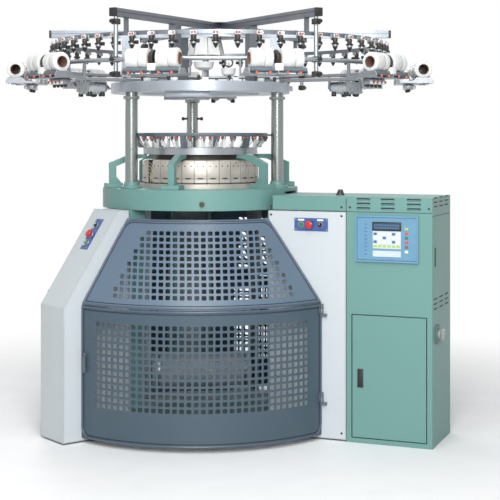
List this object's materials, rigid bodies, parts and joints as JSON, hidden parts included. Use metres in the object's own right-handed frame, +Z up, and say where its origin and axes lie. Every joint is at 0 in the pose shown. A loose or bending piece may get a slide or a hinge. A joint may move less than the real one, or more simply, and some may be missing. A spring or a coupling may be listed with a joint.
{
  "type": "industrial knitting machine",
  "caption": "Large circular knitting machine: round bed on a guarded base, electric cabinet beside it, and a wide elastane creel on top.",
  "frame": {"origin": "on the axis of the needle cylinder, at floor level", "axes": "+Z up along the cylinder's axis; -Y out through the front gate; the cabinet stands towards +X, -Y"},
  "size_m": [2.3518, 2.3522, 2.187],
  "materials": {
    "painted_green": "semi-gloss",
    "painted_white": "semi-gloss",
    "guard_grey": "satin",
    "cast_base": "painted",
    "machined_steel": "satin",
    "polished_steel": "polished",
    "bright_alloy": "satin",
    "roller_grey": "satin",
    "black_plastic": "matte",
    "white_plastic": "gloss",
    "red_plastic": "gloss",
    "start_plastic": "gloss",
    "blue_plate": "satin",
    "keypad": "satin",
    "yarn": "matte",
    "belt_rubber": "matte",
    "electrics": "matte"
  },
  "bodies": {
    "frame": {"base_frame": "cast_base", "levelling_feet": "machined_steel", "leg_posts": "painted_green", "left_leg_cover": "painted_white", "rear_leg_cover": "painted_white", "right_leg_cover": "painted_white", "bed": "painted_green", "oil_caps": "black_plastic", "cylinder_bearing": "machined_steel", "cam_base_ring": "machined_steel", "cam_boxes": "machined_steel", "motor": "bright_alloy", "drive_belt": "belt_rubber", "columns": "polished_steel", "top_plate": "bright_alloy", "ring_support_arms": "painted_green", "feeder_ring": "bright_alloy", "yarn_guides": "machined_steel", "guide_ring": "polished_steel", "front_upper_guard": "guard_grey", "rear_upper_guards": "guard_grey", "rear_lower_guards": "guard_grey", "gate_hinges": "machined_steel", "beam_cover": "painted_green", "cabinet_shell": "painted_green", "panel_frame": "bright_alloy", "control_keypad": "keypad", "electrics_plate": "electrics", "station_plates": "blue_plate", "creel_beams": "roller_grey", "creel_posts": "roller_grey", "beam_end_caps": "black_plastic", "creel_hub": "white_plastic", "creel_rail": "bright_alloy", "head_ring": "roller_grey", "feeder_heads": "white_plastic", "package_trays": "bright_alloy", "elastane_packages": "yarn", "stop_motions": "red_plastic", "creel_drives": "bright_alloy"},
    "cylinder": {"main_gear": "machined_steel", "needle_cylinder": "machined_steel", "takedown_frame": "painted_green"},
    "front_takedown_roller": {"takedown_roller_front": "roller_grey"},
    "rear_takedown_roller": {"takedown_roller_rear": "roller_grey"},
    "cloth_roller": {"cloth_roller": "roller_grey"},
    "drive_shaft": {"drive_shaft": "machined_steel"},
    "motor_pulley": {"motor_pulley": "machined_steel"},
    "gate": {"front_gate": "guard_grey"},
    "gate_latch": {"gate_latch": "black_plastic"},
    "door": {"cabinet_door": "painted_green"},
    "lock_paddle": {"lock_paddle": "black_plastic"},
    "main_switch": {"main_switch": "black_plastic"},
    "start_button_right": {"start_button_right": "start_plastic"},
    "start_button_left": {"start_button_left": "start_plastic"},
    "stop_button_right": {"stop_button_right": "red_plastic"},
    "stop_button_left": {"stop_button_left": "red_plastic"},
    "selector_right": {"selector_right": "black_plastic"},
    "selector_left": {"selector_left": "black_plastic"}
  },
  "joints": [
    {"name": "cylinder_spin", "type": "hinge", "parent": "frame", "child": "cylinder", "pos_m": [0, 0, 1.25], "axis": [0, 0, 1], "continuous": true},
    {"name": "front_roller_spin", "type": "hinge", "parent": "cylinder", "child": "front_takedown_roller", "pos_m": [0, -0.0345, 0.56], "axis": [1, 0, 0], "continuous": true},
    {"name": "rear_roller_spin", "type": "hinge", "parent": "cylinder", "child": "rear_takedown_roller", "pos_m": [0, 0.0345, 0.56], "axis": [1, 0, 0], "continuous": true},
    {"name": "cloth_roller_spin", "type": "hinge", "parent": "cylinder", "child": "cloth_roller", "pos_m": [0, 0, 0.262], "axis": [1, 0, 0], "continuous": true},
    {"name": "drive_shaft_spin", "type": "hinge", "parent": "frame", "child": "drive_shaft", "pos_m": [0.42435, -0.245, 1.157], "axis": [0, 0, 1], "continuous": true},
    {"name": "motor_spin", "type": "hinge", "parent": "frame", "child": "motor_pulley", "pos_m": [0.68416, -0.395, 1.08], "axis": [0, 0, 1], "continuous": true},
    {"name": "gate_swing", "type": "hinge", "parent": "frame", "child": "gate", "pos_m": [0.55672, -0.64127, 0.6], "axis": [0, 0, 1], "range_deg": [0, 100]},
    {"name": "gate_latch_turn", "type": "hinge", "parent": "gate", "child": "gate_latch", "pos_m": [-0.64327, -0.54174, 0.45], "axis": [-0.7649, -0.6442, 0], "range_deg": [0, 90]},
    {"name": "cabinet_door_swing", "type": "hinge", "parent": "frame", "child": "door", "pos_m": [1.03197, -0.89257, 0.34], "axis": [0, 0, 1], "range_deg": [0, 110]},
    {"name": "lock_paddle_lift", "type": "hinge", "parent": "door", "child": "lock_paddle", "pos_m": [0.73686, -0.73373, 0.354], "axis": [-0.866, 0.5, 0], "range_deg": [0, 35], "stiffness_Nm_per_rad": 0.2, "springref_deg": -17.19},
    {"name": "main_switch_turn", "type": "hinge", "parent": "frame", "child": "main_switch", "pos_m": [1.11581, -0.83936, 0.56], "axis": [0.866, -0.5, 0], "range_deg": [0, 90]},
    {"name": "start_press_right", "type": "slide", "parent": "frame", "child": "start_button_right", "axis": [0.5, 0.866, 0], "range_m": [0, 0.004], "stiffness_N_per_m": 400, "springref_m": -0.002},
    {"name": "start_press_left", "type": "slide", "parent": "frame", "child": "start_button_left", "axis": [0.7199, 0.4156, -0.5559], "range_m": [0, 0.004], "stiffness_N_per_m": 400, "springref_m": -0.002},
    {"name": "stop_press_right", "type": "slide", "parent": "frame", "child": "stop_button_right", "axis": [0.5, 0.866, 0], "range_m": [0, 0.006]},
    {"name": "stop_press_left", "type": "slide", "parent": "frame", "child": "stop_button_left", "axis": [0.7199, 0.4156, -0.5559], "range_m": [0, 0.006]},
    {"name": "selector_turn_right", "type": "hinge", "parent": "frame", "child": "selector_right", "pos_m": [0.55053, -0.62846, 1.103], "axis": [-0.5, -0.866, 0], "range_deg": [-45, 45]},
    {"name": "selector_turn_left", "type": "hinge", "parent": "frame", "child": "selector_left", "pos_m": [-0.58593, -0.33829, 1.09171], "axis": [-0.7199, -0.4156, 0.5559], "range_deg": [-45, 45]}
  ],
  "couplings": [
    {"joint": "drive_shaft_spin", "follows": "cylinder_spin", "ratio": -6},
    {"joint": "motor_spin", "follows": "cylinder_spin", "ratio": -9},
    {"joint": "rear_roller_spin", "follows": "front_roller_spin", "ratio": -1}
  ]
}
